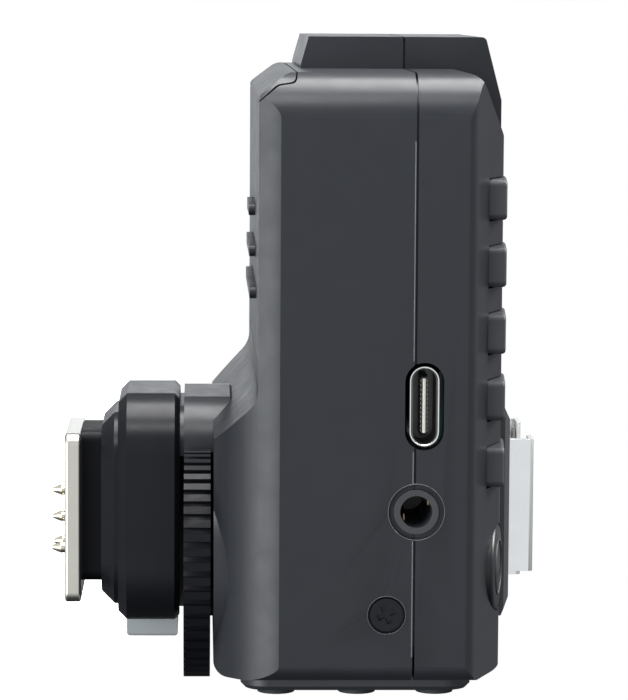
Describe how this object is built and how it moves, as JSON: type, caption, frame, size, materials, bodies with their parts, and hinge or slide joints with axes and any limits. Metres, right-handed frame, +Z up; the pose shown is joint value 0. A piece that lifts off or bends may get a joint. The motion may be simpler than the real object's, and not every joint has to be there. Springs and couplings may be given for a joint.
{
  "type": "wireless flash trigger",
  "caption": "Compact camera-top radio trigger for flashes: quick-lock foot below, tilted screen deck, group buttons, select dial, charging and sync sockets, and a pass-through shoe on top.",
  "frame": {"origin": "on the foot plate's underside, on its middle line and 0.5 mm behind its centre", "axes": "+Z up out of the camera, -Y towards the viewer and the screen, +X the side with the two sockets"},
  "size_m": [0.071, 0.0735, 0.0567],
  "materials": {
    "case_plastic": "fine satin",
    "foot_plastic": "satin",
    "front_trim": "satin",
    "rubber": "matt",
    "button_plastic": "satin",
    "dial_plastic": "satin",
    "lever_plastic": "satin",
    "window": "gloss",
    "display": "matt",
    "board": "satin",
    "bright_steel": "polished",
    "dark_steel": "satin",
    "gilt": "polished",
    "tongue_plastic": "satin",
    "jack_plastic": "satin",
    "cell_wrap": "satin"
  },
  "bodies": {
    "case": {"antenna": "gilt", "battery_1": "cell_wrap", "battery_2": "cell_wrap", "battery_contact_left": "bright_steel", "battery_contact_right": "bright_steel", "battery_tray": "foot_plastic", "contact_block": "foot_plastic", "encoder": "foot_plastic", "foot_flange": "foot_plastic", "foot_housing": "foot_plastic", "foot_neck": "foot_plastic", "foot_plate": "bright_steel", "front_grip_1": "rubber", "front_grip_2": "rubber", "front_grip_3": "rubber", "front_plate": "front_trim", "keypad_membrane": "rubber", "lcd_module": "display", "lower_shell": "case_plastic", "main_board": "board", "radio_board": "board", "screen_window": "window", "shoe_contact_1": "gilt", "shoe_contact_2": "gilt", "shoe_contact_3": "gilt", "shoe_contact_4": "gilt", "shoe_insulator": "foot_plastic", "shoe_platform": "case_plastic", "shoe_rails": "bright_steel", "shoe_stop": "bright_steel", "side_screw": "dark_steel", "sync_jack": "jack_plastic", "upper_shell": "case_plastic", "usb_shell": "bright_steel", "usb_tongue": "tongue_plastic"},
    "battery_door": {"battery_door": "case_plastic"},
    "power_switch": {"power_switch": "button_plastic"},
    "assist_lamp_switch": {"assist_lamp_switch": "button_plastic"},
    "select_dial": {"select_dial": "dial_plastic"},
    "lock_lever": {"lock_lever": "lever_plastic"},
    "lock_pin": {"lock_pin": "bright_steel"},
    "group_button_1": {"group_button_1": "rubber"},
    "group_button_2": {"group_button_2": "rubber"},
    "group_button_3": {"group_button_3": "rubber"},
    "group_button_4": {"group_button_4": "rubber"},
    "group_button_5": {"group_button_5": "rubber"},
    "function_button_1": {"function_button_1": "rubber"},
    "function_button_2": {"function_button_2": "rubber"},
    "function_button_3": {"function_button_3": "rubber"},
    "function_button_4": {"function_button_4": "rubber"},
    "set_button": {"set_button": "button_plastic"},
    "test_button": {"test_button": "button_plastic"},
    "contact_pin_1": {"contact_pin_1": "gilt"},
    "contact_pin_2": {"contact_pin_2": "gilt"},
    "contact_pin_3": {"contact_pin_3": "gilt"},
    "contact_pin_4": {"contact_pin_4": "gilt"}
  },
  "joints": [
    {"name": "door_slide", "type": "slide", "parent": "case", "child": "battery_door", "axis": [0, -1, 0], "range_m": [0, 0.034]},
    {"name": "power_switch_slide", "type": "slide", "parent": "case", "child": "power_switch", "axis": [0, 1, 0], "range_m": [0, 0.0045]},
    {"name": "assist_lamp_switch_slide", "type": "slide", "parent": "case", "child": "assist_lamp_switch", "axis": [0, 1, 0], "range_m": [0, 0.0045]},
    {"name": "dial_turn", "type": "hinge", "parent": "case", "child": "select_dial", "pos_m": [0.0185, 0.00415, 0.0155], "axis": [0, 0, 1], "continuous": true},
    {"name": "lever_swing", "type": "hinge", "parent": "case", "child": "lock_lever", "pos_m": [0, -0.0007, 0.0104], "axis": [0, 0, 1], "range_deg": [0, 18]},
    {"name": "lock_pin_drop", "type": "slide", "parent": "case", "child": "lock_pin", "axis": [0, 0, -1], "range_m": [0, 0.00121]},
    {"name": "group_button_1_press", "type": "slide", "parent": "case", "child": "group_button_1", "axis": [0, 0, -1], "range_m": [0, 0.00045], "stiffness_N_per_m": 900},
    {"name": "group_button_2_press", "type": "slide", "parent": "case", "child": "group_button_2", "axis": [0, 0, -1], "range_m": [0, 0.00045], "stiffness_N_per_m": 900},
    {"name": "group_button_3_press", "type": "slide", "parent": "case", "child": "group_button_3", "axis": [0, 0, -1], "range_m": [0, 0.00045], "stiffness_N_per_m": 900},
    {"name": "group_button_4_press", "type": "slide", "parent": "case", "child": "group_button_4", "axis": [0, 0, -1], "range_m": [0, 0.00045], "stiffness_N_per_m": 900},
    {"name": "group_button_5_press", "type": "slide", "parent": "case", "child": "group_button_5", "axis": [0, 0, -1], "range_m": [0, 0.00045], "stiffness_N_per_m": 900},
    {"name": "function_button_1_press", "type": "slide", "parent": "case", "child": "function_button_1", "axis": [0, 0, -1], "range_m": [0, 0.00045], "stiffness_N_per_m": 900},
    {"name": "function_button_2_press", "type": "slide", "parent": "case", "child": "function_button_2", "axis": [0, 0, -1], "range_m": [0, 0.00045], "stiffness_N_per_m": 900},
    {"name": "function_button_3_press", "type": "slide", "parent": "case", "child": "function_button_3", "axis": [0, 0, -1], "range_m": [0, 0.00045], "stiffness_N_per_m": 900},
    {"name": "function_button_4_press", "type": "slide", "parent": "case", "child": "function_button_4", "axis": [0, 0, -1], "range_m": [0, 0.00045], "stiffness_N_per_m": 900},
    {"name": "set_button_press", "type": "slide", "parent": "case", "child": "set_button", "axis": [0, 0, -1], "range_m": [0, 0.00045], "stiffness_N_per_m": 1200},
    {"name": "test_button_press", "type": "slide", "parent": "case", "child": "test_button", "axis": [0, 0, -1], "range_m": [0, 0.00045], "stiffness_N_per_m": 1200},
    {"name": "contact_pin_1_press", "type": "slide", "parent": "case", "child": "contact_pin_1", "axis": [0, 0, 1], "range_m": [0, 0.0014], "stiffness_N_per_m": 300},
    {"name": "contact_pin_2_press", "type": "slide", "parent": "case", "child": "contact_pin_2", "axis": [0, 0, 1], "range_m": [0, 0.0014], "stiffness_N_per_m": 300},
    {"name": "contact_pin_3_press", "type": "slide", "parent": "case", "child": "contact_pin_3", "axis": [0, 0, 1], "range_m": [0, 0.0014], "stiffness_N_per_m": 300},
    {"name": "contact_pin_4_press", "type": "slide", "parent": "case", "child": "contact_pin_4", "axis": [0, 0, 1], "range_m": [0, 0.0014], "stiffness_N_per_m": 300}
  ],
  "couplings": [
    {"joint": "lock_pin_drop", "follows": "lever_swing", "m_per_rad": 0.00382}
  ]
}
